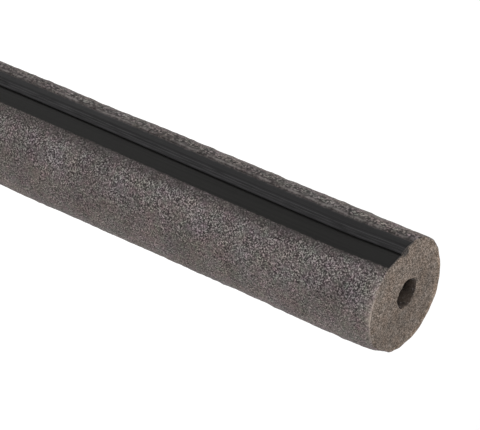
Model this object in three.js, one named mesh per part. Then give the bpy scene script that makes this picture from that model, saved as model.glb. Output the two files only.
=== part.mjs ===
// One length of foam pipe lagging: a slit foam tube with a press-shut plastic closure down its slit.
// Millimetres, +Z up. The tube stands on one end, with its axis on Z and the closure facing -Y.
import * as THREE from "three";

// Foam tube
const length = 1000;
const boreDiameter = 17; // slides over a 15 mm pipe
const wall = 25;
const boreOffset = 1.7; // the bore runs a little off centre, towards the lock strip
const slitWidth = 0.4;
const facetsRound = 80;
const boreFacets = 40;

// Both closure strips
const stripThickness = 0.8;
const seatGap = 0.3; // between a strip and the foam that it is bonded to
const clickGap = 0.4; // between the two strips, over the socket
const slitOffset = 3.1; // slit and snap lie this far to the lock strip's side of the closure's middle

// Catch strip: a flat plate, a groove, and the socket that the snap is pressed into
const plateWidth = 11.9;
const plateEdgeBevel = 0.25;
const grooveWidth = 1.0;
const grooveDepth = 1.4;
const webThickness = 0.6;
const socketWidth = 4.4;
const socketHeight = 4.6;
const socketWall = 0.7;
const socketMouth = 1.6;

// Lock strip: a curved flange, a sloping lip over the socket, and an arrow-headed snap under it
const lockRecess = 1.1; // its outer face lies this deep under the foam's surface
const lockEdge = 10.0; // its outer edge, measured from the closure's middle
const lipOverhang = 2.0; // from the socket to the lip's nose
const lipTop = 4.0; // where the lip's slope meets the flange
const noseWidth = 1.6;
const noseDrop = 0.5;
const noseHeight = 0.65;
const snapStemWidth = 0.8;
const snapStemLength = 1.4;
const snapHeadWidth = 2.1;
const snapHeadLength = 1.5;
const snapTipWidth = 0.8;

const foamColour = 0x625c5a;
const stripColour = 0x2c2b2b;

// Everything below is drawn in the tube's cross-section: x across the closure, y out through its middle,
// and the tube's centre at 0, 0. Angles run from y towards x.
const boreRadius = boreDiameter / 2;
const outerRadius = boreRadius + wall;
const lockOuterRadius = outerRadius - lockRecess;
const lockInnerRadius = lockOuterRadius - stripThickness;

const socketFront = slitOffset - socketWidth / 2;
const socketRear = slitOffset + socketWidth / 2;
const trenchRear = socketRear + seatGap;
const noseTip = socketFront - lipOverhang;
const plateRear = noseTip - grooveWidth;
const plateFront = plateRear - plateWidth;
const legFront = plateRear - stripThickness;

const plateTop = heightOnCircle(outerRadius, plateFront); // the plate's outer edge is flush with the foam
const plateUnderside = plateTop - stripThickness;
const webTop = plateTop - grooveDepth;
const webUnderside = webTop - webThickness;
const lipUnderside = heightOnCircle(lockInnerRadius, trenchRear);
const noseBottom = lipUnderside - noseDrop;
const noseTop = noseBottom + noseHeight;
const socketTop = lipUnderside - clickGap;
const socketBottom = socketTop - socketHeight;
const lockEdgeAngle = Math.asin(lockEdge / lockOuterRadius);

function heightOnCircle(radius, across) {
  return Math.sqrt(radius ** 2 - across ** 2);
}

// A round stretch between two angles, in equal steps no longer than one facet.
function roundStretch(radius, from, to, facets, centreX = 0) {
  const steps = Math.ceil((Math.abs(to - from) / (2 * Math.PI)) * facets);
  return Array.from({ length: steps + 1 }, (_, k) => {
    const angle = from + ((to - from) * k) / steps;
    return [centreX + radius * Math.sin(angle), radius * Math.cos(angle)];
  });
}

// The foam: outer skin, a seat for each strip, a trench for the socket, and the slit down into the bore.
function foamOutline() {
  const slitFront = slitOffset - slitWidth / 2;
  const slitRear = slitOffset + slitWidth / 2;
  const trenchFront = socketFront - seatGap;
  const trenchBottom = socketBottom - seatGap;
  const lockSeatRadius = lockInnerRadius - seatGap;
  const lockSeatStart = Math.asin(trenchRear / lockSeatRadius);
  const lockSeatEnd = lockEdgeAngle + seatGap / lockOuterRadius;
  const plateSeat = plateUnderside - seatGap;
  const plateSeatEdge = plateFront - seatGap;
  const webSeat = webUnderside - seatGap;
  const webSeatEdge = legFront - seatGap;
  const skinEnd = 2 * Math.PI + Math.asin(plateSeatEdge / outerRadius);
  const boreStart = Math.asin((slitFront - boreOffset) / boreRadius);
  const boreEnd = Math.asin((slitRear - boreOffset) / boreRadius) - 2 * Math.PI;
  return [
    [slitRear, trenchBottom],
    [trenchRear, trenchBottom],
    ...roundStretch(lockSeatRadius, lockSeatStart, lockSeatEnd, facetsRound),
    ...roundStretch(outerRadius, lockSeatEnd, skinEnd, facetsRound),
    [plateSeatEdge, plateSeat],
    [webSeatEdge, plateSeat],
    [webSeatEdge, webSeat],
    [trenchFront, webSeat],
    [trenchFront, trenchBottom],
    [slitFront, trenchBottom],
    ...roundStretch(boreRadius, boreStart, boreEnd, boreFacets, boreOffset),
  ];
}

// The catch strip, from the plate's outer edge over the groove and round the socket, then back underneath.
function catchOutline() {
  const socketFloor = socketBottom + socketWall;
  const mouthFront = slitOffset - socketMouth / 2;
  const mouthRear = slitOffset + socketMouth / 2;
  const mouthUnderside = socketTop - socketWall;
  return [
    [plateFront, plateUnderside],
    [plateFront, plateTop - plateEdgeBevel],
    [plateFront + plateEdgeBevel, plateTop],
    [plateRear, plateTop],
    [plateRear, webTop],
    [socketFront, webTop],
    [socketFront, socketTop],
    [mouthFront, socketTop],
    [mouthFront, mouthUnderside],
    [socketFront + socketWall, mouthUnderside],
    [socketFront + socketWall, socketFloor],
    [socketRear - socketWall, socketFloor],
    [socketRear - socketWall, mouthUnderside],
    [mouthRear, mouthUnderside],
    [mouthRear, socketTop],
    [socketRear, socketTop],
    [socketRear, socketBottom],
    [socketFront, socketBottom],
    [socketFront, webUnderside],
    [legFront, webUnderside],
    [legFront, plateUnderside],
  ];
}

// The lock strip, from the nose up the lip to its outer edge, then back underneath and round the snap.
function lockOutline() {
  const stemFront = slitOffset - snapStemWidth / 2;
  const stemRear = slitOffset + snapStemWidth / 2;
  const shoulder = lipUnderside - snapStemLength;
  const tip = shoulder - snapHeadLength;
  const lipTopAngle = Math.asin(lipTop / lockOuterRadius);
  const flangeStart = Math.asin(trenchRear / lockInnerRadius);
  return [
    [noseTip, noseBottom],
    [noseTip, noseTop],
    ...roundStretch(lockOuterRadius, lipTopAngle, lockEdgeAngle, facetsRound),
    ...roundStretch(lockInnerRadius, lockEdgeAngle, flangeStart, facetsRound),
    [stemRear, lipUnderside],
    [stemRear, shoulder],
    [slitOffset + snapHeadWidth / 2, shoulder],
    [slitOffset + snapTipWidth / 2, tip],
    [slitOffset - snapTipWidth / 2, tip],
    [slitOffset - snapHeadWidth / 2, shoulder],
    [stemFront, shoulder],
    [stemFront, lipUnderside],
    [noseTip + noseWidth, lipUnderside],
    [noseTip + noseWidth, noseBottom],
  ];
}

// One section, drawn out along the tube's length as one solid.
function extrudeSection(name, outline, material) {
  const shape = new THREE.Shape(outline.map(([x, y]) => new THREE.Vector2(x, y)));
  const geometry = new THREE.ExtrudeGeometry(shape, { depth: length, bevelEnabled: false });
  const mesh = new THREE.Mesh(geometry, material);
  mesh.name = name;
  return mesh;
}

const foam = new THREE.MeshStandardMaterial({ color: foamColour, roughness: 0.95, metalness: 0 });
const plastic = new THREE.MeshStandardMaterial({ color: stripColour, roughness: 0.5, metalness: 0 });

// Half a turn brings the closure round to -Y.
const lagging = new THREE.Group();
lagging.rotation.z = Math.PI;
lagging.add(
  extrudeSection("foam_tube", foamOutline(), foam),
  extrudeSection("catch_strip", catchOutline(), plastic),
  extrudeSection("lock_strip", lockOutline(), plastic),
);

const part = new THREE.Group();
part.add(lagging);

export default part;
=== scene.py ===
import bpy
import numpy as np
from mathutils import Matrix, Vector


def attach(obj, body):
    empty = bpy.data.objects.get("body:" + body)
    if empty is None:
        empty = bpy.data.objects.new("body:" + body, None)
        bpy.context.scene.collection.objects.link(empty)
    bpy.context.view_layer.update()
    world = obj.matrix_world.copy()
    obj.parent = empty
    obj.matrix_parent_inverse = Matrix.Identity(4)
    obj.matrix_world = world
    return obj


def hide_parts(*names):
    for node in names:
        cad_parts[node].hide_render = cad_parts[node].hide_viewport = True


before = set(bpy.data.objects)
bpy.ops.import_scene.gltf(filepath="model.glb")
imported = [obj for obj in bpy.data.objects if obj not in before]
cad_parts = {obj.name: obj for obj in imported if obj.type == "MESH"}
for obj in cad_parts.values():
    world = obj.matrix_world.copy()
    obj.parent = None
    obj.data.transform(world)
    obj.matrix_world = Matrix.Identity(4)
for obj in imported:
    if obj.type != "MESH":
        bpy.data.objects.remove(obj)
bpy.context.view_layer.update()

# A length of foam pipe lagging, stood on its end. Z is the tube's axis and the closure faces -Y.
# Sections are drawn in millimetres: t runs across the closure towards the lock strip (world -X),
# n points out through its middle (world -Y), and the tube's axis is at 0, 0.

mm = 0.001
tubeLength = 1000.0

# The foam is soft and the closure wanders a little along it: heights up the tube, and how far the section has
# turned there, measured in millimetres along the skin towards the lock strip.
sway = {
    "heights": np.array([0.0, 130.0, 330.0, 530.0, 730.0, 965.0, 1000.0]),
    "offsets": np.array([0.2, -0.9, 0.7, -0.8, 0.9, -1.35, -0.2]),
}

closure = {
    "radius": 33.5,
    "slitOffset": 3.1,
    "plateEdge": -13.3,
    "plateRear": -2.1,
    "noseTip": -1.1,
    "socketFront": 0.9,
    "socketRear": 5.3,
    "flangeGap": 0.3,  # from the socket to where the lock strip's flange starts
    "lockEdge": 10.05,
    "lockRecess": 1.1,
    "stripThickness": 0.8,
    "grooveDepth": 0.7,
    "webThickness": 0.6,
    "socketHeight": 3.5,
    "clickGap": 0.4,
}
c = closure
plateTop = np.sqrt(c["radius"] ** 2 - c["plateEdge"] ** 2)
plateUnderside = plateTop - c["stripThickness"]
webTop = plateTop - c["grooveDepth"]
webUnderside = webTop - c["webThickness"]
lockOuter = c["radius"] - c["lockRecess"]
lockInner = lockOuter - c["stripThickness"]
flangeFront = c["socketRear"] + c["flangeGap"]
lipUnderside = np.sqrt(lockInner ** 2 - flangeFront ** 2)
socketTop = lipUnderside - c["clickGap"]
socketBottom = socketTop - c["socketHeight"]
lockEdgeAngle = np.arcsin(c["lockEdge"] / lockOuter)


def arc(radius, start, end, count, centreT=0.0):
    # a point at each angle a from start to end, measured from n towards t: (centreT + r sin a, r cos a)
    a = np.linspace(start, end, count)
    return np.column_stack([centreT + radius * np.sin(a), radius * np.cos(a)])


def ease(s):
    # 0 to 1 with a level start and end: s^2 (3 - 2s)
    s = np.clip(s, 0.0, 1.0)
    return s * s * (3 - 2 * s)


def eased(x, places, values):
    # the values given at the places, in rising order, joined by the ease curve
    k = np.clip(np.searchsorted(places, x, side="right") - 1, 0, len(places) - 2)
    return values[k] + (values[k + 1] - values[k]) * ease((x - places[k]) / (places[k + 1] - places[k]))


def softenCorners(corners, cut, reach=0.45, steps=4):
    # each corner P becomes a quadratic curve from a point on the side before it to one on the side after it:
    # (1-s)^2 A + 2s(1-s) P + s^2 B. A and B lie "cut" from P, or at most this reach of the way along the side.
    before, after = np.roll(corners, 1, axis=0) - corners, np.roll(corners, -1, axis=0) - corners
    lengthBefore = np.linalg.norm(before, axis=1, keepdims=True)
    lengthAfter = np.linalg.norm(after, axis=1, keepdims=True)
    cut = np.broadcast_to(np.asarray(cut, float).reshape(-1, 1), (len(corners), 1))
    a = corners + before / lengthBefore * np.minimum(cut, reach * lengthBefore)
    b = corners + after / lengthAfter * np.minimum(cut, reach * lengthAfter)
    s = np.linspace(0.0, 1.0, steps)[None, :, None]
    curve = (1 - s) ** 2 * a[:, None] + 2 * s * (1 - s) * corners[:, None] + s ** 2 * b[:, None]
    return curve.reshape(-1, 2)


def ripple(angle, z, seed, waves, longest, shortest, size):
    # a sum of seeded sines over the surface: size * sum sin(m angle + 2 pi z / w + phase) / sqrt(waves),
    # with a whole number m of waves round the tube and a length w between longest and shortest
    rng = np.random.default_rng(seed)
    w = longest * (shortest / longest) ** rng.random(waves)
    m = np.round(rng.uniform(-1, 1, waves) * 2 * np.pi * c["radius"] / w)
    phase = rng.uniform(0, 2 * np.pi, waves)
    total = np.zeros(np.broadcast(angle, z).shape)
    for mk, wk, pk in zip(m, w, phase):
        total += np.sin(mk * angle + 2 * np.pi * z / wk + pk)
    return size * total / np.sqrt(waves)


def ringHeights(spacing, rim, jitter=0.3, seed=16):
    # heights of the rings: as the rim says at both ends, and between them one spacing apart, give or take the
    # jitter's share of it, so that they make no pattern from afar
    inner = np.linspace(rim[-1], tubeLength - rim[-1], int(round((tubeLength - 2 * rim[-1]) / spacing)) + 1)
    inner[1:-1] += np.random.default_rng(seed).uniform(-jitter, jitter, len(inner) - 2) * spacing
    return np.concatenate([rim[:-1], inner, (tubeLength - rim[:-1])[::-1]])


def swayed(t, n, z):
    # the section at height z, turned about the axis by a = offset / radius: (t cos a + n sin a, n cos a - t sin a)
    a = (eased(z, sway["heights"], sway["offsets"]) / c["radius"])[:, None]
    return t * np.cos(a) + n * np.sin(a), n * np.cos(a) - t * np.sin(a)


def sweptMesh(name, t, n, z, masks):
    # the surface (ring, point on the section) -> (-t, -n, z) after the sway, closed round the section, with one
    # flat face over each end in the second material. The sections run clockwise seen from above, so the faces
    # are wound the other way.
    rings, points = t.shape
    t, n = swayed(t, n, z)
    verts = np.stack([-t, -n, np.broadcast_to(z[:, None], t.shape)], axis=-1).reshape(-1, 3) * mm
    index = np.arange(rings * points).reshape(rings, points)
    onwards = np.roll(index, -1, axis=1)
    quads = np.stack([index[:-1], index[1:], onwards[1:], onwards[:-1]], axis=-1).reshape(-1, 4)
    faces = quads.tolist() + [index[0].tolist(), index[-1][::-1].tolist()]
    mesh = bpy.data.meshes.new(name)
    mesh.from_pydata(verts, [], faces)
    smooth = np.ones(len(faces), bool)
    smooth[-2:] = False
    slots = np.zeros(len(faces), np.int32)
    slots[-2:] = 1
    mesh.polygons.foreach_set("use_smooth", smooth)
    mesh.polygons.foreach_set("material_index", slots)
    for key, values in masks.items():
        layer = mesh.attributes.new(key, "FLOAT", "POINT")
        layer.data.foreach_set("value", np.broadcast_to(values, (rings, points)).astype(np.float32).ravel())
    mesh.validate()
    mesh.update()
    piece = bpy.data.objects.new(name, mesh)
    bpy.context.collection.objects.link(piece)
    return piece


foamTube = {
    "boreRadius": 8.5,
    "boreOffset": 1.7,
    "boreRise": 0.5,  # the bore also runs off centre towards the closure
    "slitWidth": 0.2,
    "slitPoints": (20.0, 14.0),  # heights of two more points on each side of the slit
    "seatGap": 0.03,
    "seatClear": 0.02,  # from the trench's edge to the lock seat's first point
    "seatSteps": 5,
    "shoulder": 1.7,  # width of the rounded edge beside the lock strip
    "shoulderSteps": 6,
    "skinSteps": 130,
    "boreSteps": 40,
    "ringSpacing": 2.3,
    "rim": np.array([0.0, 0.06, 0.2, 0.45, 0.8, 1.6]),
    "rimRadius": 0.5,
    "mouthRounding": 0.6,  # the bore's mouth is rounded this much as far as the rim
    # ripples: seed, number of waves, longest and shortest wave, size
    "longWaves": (11, 14, 260.0, 60.0, 0.2),
    "dimples": (12, 40, 22.0, 5.0, 0.15),
    "rimWaves": (13, 12, 24.0, 7.0, 0.22),
    "rimNicks": (17, 16, 8.0, 3.2, 0.13),
    "boreWaves": (15, 12, 120.0, 26.0, 0.45),
    "mouthNicks": (18, 16, 8.0, 3.2, 0.286),
    "wavesDepth": 3.0,  # the rim's waves and nicks fade over these distances
    "nicksDepth": 2.0,
    "boreSteady": 0.3,  # the bore's waves are this much of their size inside, and whole at the mouth
    "boreDepth": 9.0,
    "boreTurn": 0.25,  # the nicks are as long round the bore as on the skin, which is four times as far round
    "grainSeed": 14,
    "grains": 0.035,
    "grainLimit": 2.0,
    "swell": 0.1,  # the skin stands out by this much all over
    # the sawn end is not quite round: degrees from the closure, and how far the rim and the mouth stand out there
    "rimAngles": np.array([0.0, 44.0, 80.0, 104.0, 128.0, 150.0, 176.0, 188.0, 206.0, 222.0, 236.0, 254.0, 360.0]),
    "rimOffsets": np.array([0.1, 0.0, 0.25, 0.9, 1.9, 1.2, 0.4, -0.8, -0.7, -1.9, -1.4, -0.1, 0.1]),
    "mouthAngles": np.array([0.0, 38.0, 75.0, 105.0, 165.0, 195.0, 225.0, 285.0, 340.0, 360.0]),
    "mouthOffsets": np.array([0.6, -0.5, 0.7, -0.5, -1.1, -0.8, 0.0, 0.2, -0.1, 0.6]),
    "rimDepth": 6.5,
    "rimHighlightPlace": -67.0,  # degrees from the closure to the middle of the stretch where a highlight is painted along the rim
    "rimHighlightHalf": 27.0,
    "rimHighlightWidth": 1.1,  # the painted highlight is this wide
    "endLightDepth": 6.0,  # and painted light brightens the grain over this distance
    "fusedWidth": 3.2,  # foam melted smooth beside the catch strip, in full and then fading
    "fusedFade": 6.3,
    "fusedTaper": 190.0,  # it narrows towards the ends over this distance, to this share
    "fusedNarrow": 0.62,
    "shoulderFused": 1.5,  # and on the shoulder beside the lock strip
    "shoulderFade": 3.2,
    "meltWidth": 0.7,  # darkest right beside the catch strip
    "calmStart": 10.0,  # calmer grain, with fewer painted glints, from here on and in full after the width
    "calmWidth": 22.0,
    "shadeWidth": 4.5,  # painted shade on the foam behind the shoulder, in full and then fading
    "shadeFade": 9.0,
    "fringePlace": 0.8,  # a paler line along the shoulder
    "fringeWidth": 0.5,
}


def foamLoop(f):
    # the foam's outline, from the slit over the lock seat, round the skin, back over the catch seat, down the
    # slit and round the bore. kind is 0 on a seat, 1 on the skin and 2 in the bore. The shoulder beside the lock
    # strip rises from the strip's face to the skin as recess * sin(s pi / 2).
    gap = f["seatGap"]
    slitFront, slitRear = c["slitOffset"] - f["slitWidth"] / 2, c["slitOffset"] + f["slitWidth"] / 2
    trenchFront, trenchRear = c["socketFront"] - gap, c["socketRear"] + gap
    trenchBottom = socketBottom - gap
    seatRadius = lockInner - gap
    seatStart = np.arcsin((trenchRear + f["seatClear"]) / seatRadius)
    seatEnd = lockEdgeAngle + gap / lockOuter
    skinStart = seatEnd + f["shoulder"] / c["radius"]
    skinEnd = 2 * np.pi + np.arcsin((c["plateEdge"] - gap) / c["radius"])
    boreStart = np.arcsin((slitFront - f["boreOffset"]) / f["boreRadius"])
    boreEnd = np.arcsin((slitRear - f["boreOffset"]) / f["boreRadius"]) - 2 * np.pi
    plateSeat, webSeat = plateUnderside - gap, webUnderside - gap
    legFront = c["plateRear"] - c["stripThickness"] - gap
    rise = np.linspace(0.0, 1.0, f["shoulderSteps"] + 1)[:-1]
    shoulderAngle = seatEnd + rise * (skinStart - seatEnd)
    shoulderRadius = lockOuter + c["lockRecess"] * np.sin(rise * np.pi / 2)
    shoulder = np.column_stack([shoulderRadius * np.sin(shoulderAngle), shoulderRadius * np.cos(shoulderAngle)])
    bore = arc(f["boreRadius"], boreStart, boreEnd, f["boreSteps"], f["boreOffset"]) + [0.0, f["boreRise"]]
    parts = [
        (np.array([[slitRear, trenchBottom], [trenchRear, trenchBottom]]), 0),
        (arc(seatRadius, seatStart, seatEnd, f["seatSteps"]), 0),
        (shoulder, 1),
        (arc(c["radius"], skinStart, skinEnd, f["skinSteps"]), 1),
        (np.array([[c["plateEdge"] - gap, plateSeat], [legFront, plateSeat], [legFront, webSeat],
                   [trenchFront, webSeat], [trenchFront, trenchBottom], [slitFront, trenchBottom]]), 0),
        (np.array([[slitFront, n] for n in f["slitPoints"]]), 0),
        (bore, 2),
        (np.array([[slitRear, n] for n in f["slitPoints"][::-1]]), 0),
    ]
    loop = np.concatenate([points for points, kind in parts])
    kind = np.concatenate([np.full(len(points), kind) for points, kind in parts])
    return loop, kind


def skinPush(f, angle, height, fromEnd, rounding):
    # outwards on the skin: long waves + dimples + a random grain at each point + swell - rounding, and with d from
    # the end also rim waves * e^(-d / depth) + nicks * e^(-d / depth) + rim offsets * e^-(d / depth)^2
    push = ripple(angle, height, *f["longWaves"]) + ripple(angle, height, *f["dimples"])
    push = push + ripple(angle, height, *f["rimWaves"]) * np.exp(-fromEnd / f["wavesDepth"])
    push = push + ripple(angle, height, *f["rimNicks"]) * np.exp(-fromEnd / f["nicksDepth"])
    grains = np.random.default_rng(f["grainSeed"]).normal(size=push.shape)
    push = push + f["grains"] * np.clip(grains, -f["grainLimit"], f["grainLimit"])
    offsets = eased(np.degrees(angle) % 360.0, f["rimAngles"], f["rimOffsets"])
    return push + offsets * np.exp(-(fromEnd / f["rimDepth"]) ** 2) + f["swell"] - rounding


def borePush(f, angle, height, fromEnd, rounding):
    # outwards from the bore's centre, with d from the end: slow waves * (steady + (1 - steady) e^(-d / depth))
    # + nicks * e^(-d / depth) + mouth offsets * e^-(d / depth)^2 + the mouth's share of the rounding
    steady = f["boreSteady"]
    push = ripple(angle, height, *f["boreWaves"]) * (steady + (1 - steady) * np.exp(-fromEnd / f["boreDepth"]))
    push = push + ripple(angle * f["boreTurn"], height, *f["mouthNicks"]) * np.exp(-fromEnd / f["nicksDepth"])
    offsets = eased(np.degrees(angle) % 360.0, f["mouthAngles"], f["mouthOffsets"])
    return push + offsets * np.exp(-(fromEnd / f["rimDepth"]) ** 2) + rounding * f["mouthRounding"]


def foamMasks(f, angle, fromEnd, isSkin, isBore):
    # shares from 0 to 1 for the material, by the distance x along the skin from a strip's edge: fused, calm and
    # the painted shade behind the lock strip follow the ease curve, melt is e^(-x / width) and fringe e^-((x -
    # place) / width)^2. The painted highlight along the rim is e^(-d / width) e^-(a / half)^4 and the painted light
    # near the end e^(-d / depth) cos a, at d from the end and a from its middle.
    fromPlate = (np.arcsin(c["plateEdge"] / c["radius"]) - angle) % (2 * np.pi) * c["radius"]
    fromLock = (angle - lockEdgeAngle) % (2 * np.pi) * c["radius"]
    narrow = f["fusedNarrow"]
    taper = narrow + (1 - narrow) * np.clip(fromEnd / f["fusedTaper"], 0.0, 1.0)
    fromRimHighlight = np.degrees(angle) - f["rimHighlightPlace"]
    return {
        "fused": np.maximum(1 - ease((fromPlate / taper - f["fusedWidth"]) / f["fusedFade"]),
                            1 - ease((fromLock - f["shoulderFused"]) / f["shoulderFade"])) * isSkin,
        "melt": np.exp(-fromPlate / f["meltWidth"]) * isSkin,
        "calm": ease((fromPlate - f["calmStart"]) / f["calmWidth"]) * isSkin,
        "paintedShade": (1 - ease((fromLock - f["shadeWidth"]) / f["shadeFade"])) * isSkin,
        "fringe": np.exp(-((fromLock - f["fringePlace"]) / f["fringeWidth"]) ** 2) * isSkin,
        "rim": np.exp(-fromEnd / f["rimHighlightWidth"]) * np.exp(-((fromRimHighlight / f["rimHighlightHalf"]) ** 4)) * isSkin,
        "paintedEndLight": np.exp(-fromEnd / f["endLightDepth"]) * np.clip(np.cos(np.radians(fromRimHighlight)), 0.0, 1.0) * isSkin,
        "bore": isBore.astype(float),
    }


def makeFoamTube(f):
    # each ring is the outline, with its skin pushed along the radius and its bore away from the bore's centre.
    # The rounding draws both rims in to a quarter round: r - sqrt(r^2 - (r - d)^2) at d from the end.
    loop, kind = foamLoop(f)
    z = ringHeights(f["ringSpacing"], f["rim"])
    height, fromEnd = z[:, None], np.minimum(z, tubeLength - z)[:, None]
    t, n = loop[None, :, 0], loop[None, :, 1]
    isSkin, isBore = (kind == 1)[None], (kind == 2)[None]
    short = np.clip(f["rimRadius"] - fromEnd, 0.0, None)
    rounding = f["rimRadius"] - np.sqrt(f["rimRadius"] ** 2 - short ** 2)
    angle, radius = np.arctan2(t, n), np.sqrt(t ** 2 + n ** 2)
    boreT, boreN = t - f["boreOffset"], n - f["boreRise"]
    boreAngle, boreLength = np.arctan2(boreT, boreN), np.sqrt(boreT ** 2 + boreN ** 2)
    push = skinPush(f, angle, height, fromEnd, rounding) * isSkin
    pushBore = borePush(f, boreAngle, height, fromEnd, rounding) * isBore
    outT = t * (1 + push / radius) + pushBore * boreT / boreLength
    outN = n * (1 + push / radius) + pushBore * boreN / boreLength
    return sweptMesh("foamTube", outT, outN, z, foamMasks(f, angle, fromEnd, isSkin, isBore))


stripRings = {"spacing": 4.0, "rim": np.array([0.0, 1.0])}


def carryStrip(name, loop, edge, ridgeHighlight):
    # the same outline at every height, with two masks: edge rises from 0 to 1 towards the edge bonded to the foam,
    # and the other is where highlights are painted on the lip and its crests
    z = ringHeights(stripRings["spacing"], stripRings["rim"])
    t = np.broadcast_to(loop[None, :, 0], (len(z), len(loop)))
    n = np.broadcast_to(loop[None, :, 1], (len(z), len(loop)))
    return sweptMesh(name, t, n, z, {"edge": edge[None], "ridgeHighlight": ridgeHighlight[None]})


catchStrip = {
    "corner": 0.16,
    "edgeBevel": 0.3,
    "edgeWidth": 0.9,  # the lighter zone along the outer edge
    "lipRound": 0.75,
    "socketWall": 0.7,
    "socketMouth": 1.6,
}


def makeCatchStrip(s):
    # plate, groove and socket in one outline with softened corners. The second corner is the plate's outer edge
    # and the fourth the rounded lip over the groove.
    wall, front, rear = s["socketWall"], c["socketFront"], c["socketRear"]
    mouthFront, mouthRear = c["slitOffset"] - s["socketMouth"] / 2, c["slitOffset"] + s["socketMouth"] / 2
    leg = c["plateRear"] - c["stripThickness"]
    corners = np.array([
        [c["plateEdge"], plateUnderside], [c["plateEdge"], plateTop], [c["plateEdge"] + s["edgeWidth"], plateTop],
        [c["plateRear"], plateTop], [c["plateRear"], webTop],
        [front, webTop], [front, socketTop], [mouthFront, socketTop], [mouthFront, socketTop - wall],
        [front + wall, socketTop - wall], [front + wall, socketBottom + wall],
        [rear - wall, socketBottom + wall], [rear - wall, socketTop - wall],
        [mouthRear, socketTop - wall], [mouthRear, socketTop], [rear, socketTop], [rear, socketBottom],
        [front, socketBottom], [front, webUnderside], [leg, webUnderside], [leg, plateUnderside],
    ])
    cut = np.full(len(corners), s["corner"])
    cut[1] = s["edgeBevel"]
    cut[3] = s["lipRound"]
    loop = softenCorners(corners, cut)
    edge = np.clip(1 - (loop[:, 0] - c["plateEdge"]) / s["edgeWidth"], 0, 1)
    return carryStrip("catchStrip", loop, edge, np.zeros(len(loop)))


lockStrip = {
    "corner": 0.14,
    "noseHeight": 0.65,
    "noseDrop": 0.5,
    "noseWidth": 1.6,
    "slopeEnd": 4.6,
    "ribs": 3,
    "firstRib": 0.45,
    "ribPitch": 1.57,
    "ribWidth": 0.7,
    "ribHeight": 0.16,
    "crests": np.array([0.65, 0.75, 1.0]),  # how bright the highlight painted on each crest is
    "lipHighlight": 0.25,
    "outerSteps": 9,
    "innerSteps": 4,
    "stemWidth": 0.8,
    "stemLength": 1.2,
    "headWidth": 2.8,
    "headLength": 1.9,
    "tipWidth": 1.9,
    "edgeFade": 2.4,
}


def makeLockStrip(s):
    # sloping lip with grip ribs, curved flange and arrow-headed snap in one outline with softened corners.
    # A rib is three corners at d, d + w/2 and d + w along the slope, the middle one raised by the rib's height.
    start = np.array([c["noseTip"], lipUnderside - s["noseDrop"] + s["noseHeight"]])
    end = np.array([s["slopeEnd"], np.sqrt(lockOuter ** 2 - s["slopeEnd"] ** 2)])
    along = (end - start) / np.linalg.norm(end - start)
    outward = np.array([-along[1], along[0]])
    foot = s["firstRib"] + s["ribPitch"] * np.arange(s["ribs"])
    distance = (foot[:, None] + np.array([0.0, 0.5, 1.0]) * s["ribWidth"]).ravel()
    height = np.tile([0.0, s["ribHeight"], 0.0], s["ribs"])
    ribs = start + distance[:, None] * along + height[:, None] * outward
    outer = arc(lockOuter, np.arcsin(s["slopeEnd"] / lockOuter), lockEdgeAngle, s["outerSteps"])
    inner = arc(lockInner, lockEdgeAngle, np.arcsin(flangeFront / lockInner), s["innerSteps"])
    mid, shoulder = c["slitOffset"], lipUnderside - s["stemLength"]
    tip, noseBottom = shoulder - s["headLength"], lipUnderside - s["noseDrop"]
    stem, head, point = s["stemWidth"] / 2, s["headWidth"] / 2, s["tipWidth"] / 2
    snap = np.array([
        [mid + stem, lipUnderside], [mid + stem, shoulder], [mid + head, shoulder], [mid + point, tip],
        [mid - point, tip], [mid - head, shoulder], [mid - stem, shoulder], [mid - stem, lipUnderside],
        [c["noseTip"] + s["noseWidth"], lipUnderside], [c["noseTip"] + s["noseWidth"], noseBottom],
        [c["noseTip"], noseBottom],
    ])
    corners = np.concatenate([[start], ribs, outer, inner, snap])
    loop = softenCorners(corners, s["corner"])
    edge = ease((loop[:, 0] - c["lockEdge"] + s["edgeFade"]) / s["edgeFade"])
    # highlights painted on the lip, brightest on each rib's crest
    ridgeHighlight = np.zeros(len(corners))
    ridgeHighlight[:len(ribs) + 1] = s["lipHighlight"]
    ridgeHighlight[2:len(ribs) + 1:3] = s["crests"]  # each rib's middle corner
    return carryStrip("lockStrip", loop, edge, np.repeat(ridgeHighlight, len(loop) // len(corners)))


def newMaterial(name):
    material = bpy.data.materials.new(name)
    material.use_nodes = True
    tree = material.node_tree
    return material, tree, tree.nodes["Principled BSDF"]


def node(tree, kind, values=None, **settings):
    # each value is another node's output to link, or a plain value for the socket
    made = tree.nodes.new(kind)
    for key, value in settings.items():
        setattr(made, key, value)
    for key, value in (values or {}).items():
        if isinstance(value, bpy.types.NodeSocket):
            tree.links.new(value, made.inputs[key])
        else:
            made.inputs[key].default_value = value
    return made


def objectPlace(tree):
    return node(tree, "ShaderNodeTexCoord").outputs["Object"]


def attribute(tree, name):
    return node(tree, "ShaderNodeAttribute", attribute_name=name).outputs["Fac"]


def maths(tree, operation, a, b=0.0, third=0.0, clamp=False):
    return node(tree, "ShaderNodeMath", {0: a, 1: b, 2: third}, operation=operation, use_clamp=clamp).outputs[0]


def noise(tree, place, scale, detail=2.0, roughness=0.5):
    values = {"Vector": place, "Scale": scale, "Detail": detail, "Roughness": roughness}
    return node(tree, "ShaderNodeTexNoise", values).outputs["Fac"]


def between(tree, value, low, high, most=1.0):
    # 0 at low, rising evenly to most at high
    values = {"Value": value, "From Min": low, "From Max": high, "To Max": most}
    return node(tree, "ShaderNodeMapRange", values).outputs["Result"]


def ramp(tree, fac, stops):
    made = node(tree, "ShaderNodeValToRGB", {"Fac": fac})
    elements = made.color_ramp.elements
    elements[0].position, elements[0].color = stops[0][0], (*stops[0][1], 1)
    elements[1].position, elements[1].color = stops[-1][0], (*stops[-1][1], 1)
    for place, colour in stops[1:-1]:
        elements.new(place).color = (*colour, 1)
    return made.outputs["Color"]


def noiseRamp(tree, fac, dark, light):
    # a noise lies mostly between 0.3 and 0.7
    return ramp(tree, fac, [(0.3, dark), (0.7, light)])


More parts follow.
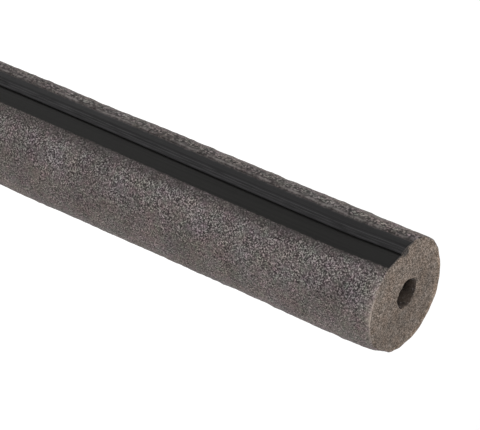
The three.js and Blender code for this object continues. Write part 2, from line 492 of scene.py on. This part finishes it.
def mixColour(tree, fac, a, b, blend="MIX"):
    made = node(tree, "ShaderNodeMix", data_type="RGBA", blend_type=blend)
    for place, value in ((0, fac), (6, a), (7, b)):
        if isinstance(value, bpy.types.NodeSocket):
            tree.links.new(value, made.inputs[place])
        else:
            made.inputs[place].default_value = (*value, 1) if place else value
    return made.outputs[2]


def tinted(tree, amount, colour, tint):
    # the colour times the tint, as far as the amount goes
    return mixColour(tree, amount, colour, mixColour(tree, 1.0, colour, tint, "MULTIPLY"))


def clouded(tree, place, colour, clouds):
    # the colour times a slow noise for each cloud: scale, detail, dark and light
    for scale, detail, dark, light in clouds:
        cloud = noiseRamp(tree, noise(tree, place, scale, detail), dark, light)
        colour = mixColour(tree, 1.0, colour, cloud, "MULTIPLY")
    return colour


def scaled(colour, factor):
    return tuple(factor * v for v in colour)


grainMix = {"detail": 3.0, "roughness": 0.62, "noise": 0.75, "dome": 0.35}


def grainOf(tree, place, noiseScale, cellScale):
    # small domes where the foam's cells stand out, broken up by noise: the noise times its share in the mix, plus
    # 1 - distance to the nearest cell times the dome's share
    grain = noise(tree, place, noiseScale, grainMix["detail"], grainMix["roughness"])
    cells = node(tree, "ShaderNodeTexVoronoi", {"Vector": place, "Scale": cellScale, "Randomness": 1.0})
    dome = maths(tree, "SUBTRACT", 1.0, cells.outputs["Distance"])
    grain = maths(tree, "MULTIPLY", grain, grainMix["noise"])
    return maths(tree, "MULTIPLY_ADD", dome, grainMix["dome"], grain)


def grainColour(tree, m, speck, contrast):
    # the grain spread about its middle by the contrast, and its colour from pit over body to speck
    speck = maths(tree, "MULTIPLY_ADD", maths(tree, "SUBTRACT", speck, m["middle"]), contrast, m["middle"])
    return speck, ramp(tree, speck, list(zip(m["stops"], (m["pit"], m["body"], m["speck"]))))


def finishShader(tree, shader, m, colour, height):
    # links the colour and a bump from the height, and sets the specular value
    bump = node(tree, "ShaderNodeBump", {"Height": height, "Strength": m["bump"], "Distance": m["bumpDepth"]})
    tree.links.new(colour, shader.inputs["Base Color"])
    tree.links.new(bump.outputs["Normal"], shader.inputs["Normal"])
    shader.inputs["Specular IOR Level"].default_value = m["specular"]


foamSkin = {
    "noiseScale": 1040.0,
    "cellScale": 1240.0,
    "coarse": 0.55,  # larger and deeper cells behind the lock strip, their deeper pits standing in for the shade among the cells there
    "deeper": 1.0,
    "contrast": 1.20,  # of the grain beside the catch strip's fused band
    "calmer": 0.40,  # it is this much less further round, where the skin is browner too: near the catch strip the painted glints are fuller and cooler
    "browner": (1.025, 1.00, 0.963),
    # pit, body and speck: the foam's own mottling, with painted glints on the cells' domes and painted shade in the
    # pits between them
    "middle": 0.575,
    "stops": (0.44, 0.58, 0.71),
    "pit": (0.0215, 0.0182, 0.0176),
    "body": (0.106, 0.0920, 0.0892),
    "speck": (0.308, 0.275, 0.266),
    "wornScale": 170.0,  # patches where the grain is rubbed smoother
    "wornFrom": 0.48,
    "wornTo": 0.68,
    "wornMost": 0.5,
    "clouds": [
        (330.0, 1.0, (1.06, 0.97, 1.03), (0.95, 1.02, 0.97)),
        (80.0, 2.0, (0.965, 1.00, 1.035), (1.035, 1.00, 0.965)),
        (100.0, 2.0, (1.02, 0.965, 1.01), (0.98, 1.035, 0.99)),
        (36.0, 2.0, (0.83, 0.83, 0.83), (1.17, 1.17, 1.17)),
    ],
    # painted shade: the foam behind the lock strip darkened
    "paintedShade": (0.655, 0.67, 0.68),
    # painted light on the grain near the end
    "paintedEndLight": (1.32, 1.30, 1.28),
    "patchScale": 210.0,  # uneven paint along the fringe, on the rim's painted highlight, and in the bore
    "patchContrast": 5.0,
    "patchShift": -1.7,
    "rimPatchy": 0.5,
    "borePatchy": 0.5,
    "cover": {"fused": 0.61, "melt": 0.35, "fringe": 0.7, "rim": 0.8, "bore": 0.9},
    "fused": (0.024, 0.0205, 0.0196),
    "melt": (0.016, 0.0140, 0.0135),
    "fringe": (0.125, 0.1130, 0.1090),
    # painted highlight along the rim
    "rim": (0.34, 0.285, 0.245),
    # the bore's inner skin, darker, with the shade inside the bore painted into its colour
    "bore": (0.029, 0.0215, 0.0163),
    "crumbScale": 560.0,  # a few pale crumbs inside the bore
    "crumbFrom": 0.63,
    "crumbTo": 0.70,
    "smoother": 0.55,  # the relief is this much lower where the foam is fused
    "bump": 0.6,
    "bumpDepth": 0.0008,
    "roughness": 0.85,
    "specular": 0.2,
}


def foamSkinMaterial(m):
    # granular skin: the grain's colour with painted glints and pit shade, worn patches, clouds, tints for painted
    # glints, shade and light, then the masks' own colours in turn
    material, tree, shader = newMaterial("foamSkin")
    place = objectPlace(tree)
    paintedShade, calm = attribute(tree, "paintedShade"), attribute(tree, "calm")
    fine = grainOf(tree, place, m["noiseScale"], m["cellScale"])
    coarse = grainOf(tree, place, m["coarse"] * m["noiseScale"], m["coarse"] * m["cellScale"])
    # behind the lock strip the grain turns coarse and deep and the colour darker: painted shade
    speck = maths(tree, "MULTIPLY_ADD", maths(tree, "SUBTRACT", coarse, fine), paintedShade, fine)
    # fewer painted glints where calm: the grain's contrast drops there
    contrast = maths(tree, "MULTIPLY_ADD", calm, -m["calmer"], m["contrast"])
    contrast = maths(tree, "MULTIPLY_ADD", paintedShade, m["deeper"], contrast)
    speck, colour = grainColour(tree, m, speck, contrast)
    worn = between(tree, noise(tree, place, m["wornScale"]), m["wornFrom"], m["wornTo"], m["wornMost"])
    colour = mixColour(tree, worn, colour, m["body"])
    colour = clouded(tree, place, colour, m["clouds"])
    # browner where calm, away from the cool painted glints
    colour = tinted(tree, maths(tree, "MULTIPLY", calm, calm), colour, m["browner"])
    colour = tinted(tree, paintedShade, colour, m["paintedShade"])
    colour = tinted(tree, attribute(tree, "paintedEndLight"), colour, m["paintedEndLight"])

    patches = noise(tree, place, m["patchScale"])
    patches = maths(tree, "MULTIPLY_ADD", patches, m["patchContrast"], m["patchShift"])
    rimPatches = maths(tree, "MULTIPLY_ADD", patches, m["rimPatchy"], 1 - m["rimPatchy"])
    crumbs = between(tree, noise(tree, place, m["crumbScale"]), m["crumbFrom"], m["crumbTo"])
    # the bore's colour, painted shade included, made patchy and sprinkled with pale crumbs
    darkBore, lightBore = scaled(m["bore"], 1 - m["borePatchy"]), scaled(m["bore"], 1 + m["borePatchy"])
    paint = {key: m[key] for key in m["cover"]}
    paint["bore"] = mixColour(tree, crumbs, mixColour(tree, patches, darkBore, lightBore), m["body"])
    masks = {key: attribute(tree, key) for key in m["cover"]}
    height = maths(tree, "MULTIPLY", speck, maths(tree, "MULTIPLY_ADD", masks["fused"], -m["smoother"], 1.0))
    masks["fringe"] = maths(tree, "MULTIPLY", masks["fringe"], patches)
    masks["rim"] = maths(tree, "MULTIPLY", masks["rim"], rimPatches)
    for key, cover in m["cover"].items():
        colour = mixColour(tree, maths(tree, "MULTIPLY", masks[key], cover, clamp=True), colour, paint[key])
    finishShader(tree, shader, m, colour, height)
    shader.inputs["Roughness"].default_value = m["roughness"]
    return material


foamCut = {
    "noiseScale": 850.0,
    "cellScale": 1080.0,
    "drag": (0.80, 1.25, 1.0),  # the saw has drawn the grain out a little, one way across the end
    "dragTurn": np.pi / 4,
    "middle": 0.58,
    "stops": (0.44, 0.58, 0.72),
    "pit": (0.061, 0.0475, 0.0377),
    "body": (0.138, 0.1117, 0.0933),
    "speck": (0.223, 0.1842, 0.1568),
    "nearFrom": 0.010,  # along Y, towards the closure, where painted light makes the foam paler and its grain is deeper
    "nearTo": -0.014,
    "nearLight": (1.25, 1.25, 1.25),
    "deeper": 0.25,
    "farLightFrom": 0.0290,  # painted light, paler from here out to the edge, on the side away from the catch strip
    "farLightTo": 0.0345,
    # tint of the painted light on the far rim
    "edge": (1.62, 1.54, 1.42),
    "clouds": [
        (330.0, 2.0, (0.74, 0.73, 0.72), (1.24, 1.24, 1.24)),
        (150.0, 1.0, (1.03, 0.99, 0.96), (0.97, 1.01, 1.04)),
        (90.0, 2.0, (0.86, 0.86, 0.86), (1.14, 1.14, 1.14)),
    ],
    "bump": 0.5,
    "bumpDepth": 0.0005,
    "roughness": 0.9,
    "specular": 0.15,
}


def farRimLight(tree, whole, m):
    # how far out a place is, r from the band's inner to outer edge, times (y - x) / r, which picks the far side:
    # where light is painted
    flat = node(tree, "ShaderNodeVectorMath", {0: whole, 1: (1.0, 1.0, 0.0)}, operation="MULTIPLY").outputs[0]
    fromAxis = node(tree, "ShaderNodeVectorMath", {0: flat}, operation="LENGTH").outputs["Value"]
    side = node(tree, "ShaderNodeVectorMath", {0: flat, 1: (-1.0, 1.0, 0.0)}, operation="DOT_PRODUCT")
    side = maths(tree, "DIVIDE", side.outputs["Value"], fromAxis, clamp=True)
    return maths(tree, "MULTIPLY", between(tree, fromAxis, m["farLightFrom"], m["farLightTo"]), side)


def foamCutMaterial(m):
    # sawn foam: warmer and more even than the skin, with the grain's colour, clouds and two parts paler with painted
    # light
    material, tree, shader = newMaterial("foamCut")
    whole = objectPlace(tree)
    drag = {"Vector": whole, "Rotation": (0.0, 0.0, m["dragTurn"]), "Scale": m["drag"]}
    place = node(tree, "ShaderNodeMapping", drag, vector_type="TEXTURE").outputs["Vector"]
    across = node(tree, "ShaderNodeSeparateXYZ", {"Vector": whole}).outputs["Y"]
    nearby = between(tree, across, m["nearFrom"], m["nearTo"])
    speck = grainOf(tree, place, m["noiseScale"], m["cellScale"])
    speck, colour = grainColour(tree, m, speck, maths(tree, "MULTIPLY_ADD", nearby, m["deeper"], 1.0))
    colour = clouded(tree, place, colour, m["clouds"])
    # painted light: paler towards the closure and on the far rim
    colour = tinted(tree, nearby, colour, m["nearLight"])
    colour = tinted(tree, farRimLight(tree, whole, m), colour, m["edge"])
    finishShader(tree, shader, m, colour, speck)
    shader.inputs["Roughness"].default_value = m["roughness"]
    return material


drawnPlastic = {
    # noises: scale, detail, roughness
    "lines": (1100.0, 3.0, 0.6),
    "dust": (420.0, 3.0, 0.65),
    "dashes": (800.0, 3.0),
    "drawn": (1.0, 1.0, 0.006),  # the lines are stretched along the length
    "dashed": (1.0, 1.0, 0.12),  # and the painted highlights' dashes a little
    "lineDark": 0.8,
    "lineLight": 1.25,
    "dustEdge": 0.5,
    "dustLevel": 0.72,
    "dustRange": 0.28,
    "dashContrast": 4.6,
    "dashShift": -1.35,
    # the painted highlights are this many times the base colour
    "highlightTone": 3.0,
    "sheenScale": 60.0,
    "sheenRange": 0.14,
    "bump": 0.12,
    "bumpDepth": 0.0002,
    "specular": 0.06,
}
catchPlastic = {"base": (0.0100, 0.0097, 0.0093), "dusty": (0.045, 0.039, 0.037), "roughness": 0.45}
lockPlastic = {"base": (0.0109, 0.0106, 0.0110), "dusty": (0.045, 0.040, 0.039), "roughness": 0.42}


def stripMaterial(name, own, m):
    # extruded plastic: fine lines drawn along the length, dust along the bonded edge, highlights painted on the lip
    # and crests, and a slightly uneven sheen: roughness + range * (noise - 1/2)
    material, tree, shader = newMaterial(name)
    place = objectPlace(tree)
    base = own["base"]
    drawn = node(tree, "ShaderNodeMapping", {"Vector": place, "Scale": m["drawn"]}).outputs["Vector"]
    lines = noise(tree, drawn, *m["lines"])
    colour = noiseRamp(tree, lines, scaled(base, m["lineDark"]), scaled(base, m["lineLight"]))
    dust = maths(tree, "SUBTRACT", noise(tree, place, *m["dust"]), m["dustLevel"])
    dust = maths(tree, "MULTIPLY_ADD", attribute(tree, "edge"), m["dustEdge"], dust)
    colour = mixColour(tree, between(tree, dust, 0.0, m["dustRange"]), colour, own["dusty"])
    # highlights painted in dashes on the lip and crests
    dashed = node(tree, "ShaderNodeMapping", {"Vector": place, "Scale": m["dashed"]}).outputs["Vector"]
    highlights = noise(tree, dashed, *m["dashes"])
    highlights = maths(tree, "MULTIPLY_ADD", highlights, m["dashContrast"], m["dashShift"])
    highlights = maths(tree, "MULTIPLY", attribute(tree, "ridgeHighlight"), highlights)
    colour = mixColour(tree, highlights, colour, scaled(base, m["highlightTone"]))
    finishShader(tree, shader, m, colour, lines)
    sheen = noise(tree, place, m["sheenScale"])
    rough = maths(tree, "MULTIPLY_ADD", sheen, m["sheenRange"], own["roughness"] - m["sheenRange"] / 2)
    tree.links.new(rough, shader.inputs["Roughness"])
    return material


sawnPlastic = {
    "scale": 1300.0,
    "dark": (0.045, 0.039, 0.035),
    "light": (0.069, 0.059, 0.053),
    "bump": 0.3,
    "bumpDepth": 0.0002,
    "roughness": 0.7,
    "specular": 0.1,
}


def stripEndMaterial(m):
    # the sawn ends of the strips: paler and rougher than the drawn faces
    material, tree, shader = newMaterial("stripEnd")
    saw = noise(tree, objectPlace(tree), m["scale"])
    finishShader(tree, shader, m, noiseRamp(tree, saw, m["dark"], m["light"]), saw)
    shader.inputs["Roughness"].default_value = m["roughness"]
    return material


tube = makeFoamTube(foamTube)
tube.data.materials.append(foamSkinMaterial(foamSkin))
tube.data.materials.append(foamCutMaterial(foamCut))
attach(tube, "root")
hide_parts("foam_tube")
print("foam tube:", len(tube.data.vertices), "points")

stripEnd = stripEndMaterial(sawnPlastic)
catch = makeCatchStrip(catchStrip)
catch.data.materials.append(stripMaterial("catchPlastic", catchPlastic, drawnPlastic))
catch.data.materials.append(stripEnd)
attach(catch, "root")
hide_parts("catch_strip")

lock = makeLockStrip(lockStrip)
lock.data.materials.append(stripMaterial("lockPlastic", lockPlastic, drawnPlastic))
lock.data.materials.append(stripEnd)
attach(lock, "root")
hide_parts("lock_strip")
print("strips:", len(catch.data.vertices), "and", len(lock.data.vertices), "points")


studio = {
    "lens": 163.5,
    "sensor": 36.0,
    "clipEnd": 100.0,
    "eye": (0.67797, -0.80014, 1.48479),  # the camera's place, and the directions right and down in its picture
    "right": (-0.59343, 0.09083, 0.79975),
    "down": (0.57309, 0.74538, 0.34058),
    "floorHalf": 14.0,
    "floorTone": 0.88,
    "floorRoughness": 0.9,
    "lightTarget": (0, 0, 0.6),
    "lights": [  # name, place, size, watts
        ("keyLight", (0.80, -2.96, 2.4), 1.6, 52.0),
        ("fillLight", (-2.4, -1.0, 2.0), 1.8, 15.0),
        ("backLight", (0.5, 2.86, 1.9), 1.8, 42.0),
    ],
    "skyStrength": 0.85,
}


def makeFloor(s):
    mesh = bpy.data.meshes.new("floor")
    corners = np.array([[-1, -1, 0], [1, -1, 0], [1, 1, 0], [-1, 1, 0]], float) * s["floorHalf"]
    mesh.from_pydata(corners, [], [(0, 1, 2, 3)])
    floor = bpy.data.objects.new("floor", mesh)
    bpy.context.collection.objects.link(floor)
    material, tree, shader = newMaterial("paleFloor")
    shader.inputs["Base Color"].default_value = (s["floorTone"], s["floorTone"], s["floorTone"], 1)
    shader.inputs["Roughness"].default_value = s["floorRoughness"]
    mesh.materials.append(material)


def makeLight(name, place, target, size, power):
    data = bpy.data.lights.new(name, "AREA")
    data.shape, data.size, data.energy = "DISK", size, power
    light = bpy.data.objects.new(name, data)
    light.location = place
    light.rotation_euler = (Vector(target) - Vector(place)).to_track_quat("-Z", "Y").to_euler()
    bpy.context.collection.objects.link(light)


def makeCamera(s):
    # a camera looks along its own -Z with +Y up, so its axes are right, -down and -(right x down)
    right, down = Vector(s["right"]).normalized(), Vector(s["down"]).normalized()
    data = bpy.data.cameras.new("camera")
    data.lens, data.sensor_width = s["lens"], s["sensor"]
    data.clip_end = s["clipEnd"]
    camera = bpy.data.objects.new("camera", data)
    turn = Matrix((right, -down, -right.cross(down))).transposed()
    camera.matrix_world = Matrix.Translation(s["eye"]) @ turn.to_4x4()
    bpy.context.collection.objects.link(camera)
    bpy.context.scene.camera = camera


def makeSky(s):
    sky = bpy.data.worlds.new("studioSky")
    sky.use_nodes = True
    background = sky.node_tree.nodes["Background"]
    background.inputs["Color"].default_value = (1, 1, 1, 1)
    background.inputs["Strength"].default_value = s["skyStrength"]
    bpy.context.scene.world = sky


makeFloor(studio)
for name, place, size, power in studio["lights"]:
    makeLight(name, place, studio["lightTarget"], size, power)
makeCamera(studio)
makeSky(studio)
bpy.context.scene.view_settings.view_transform = "Standard"
print("studio ready")
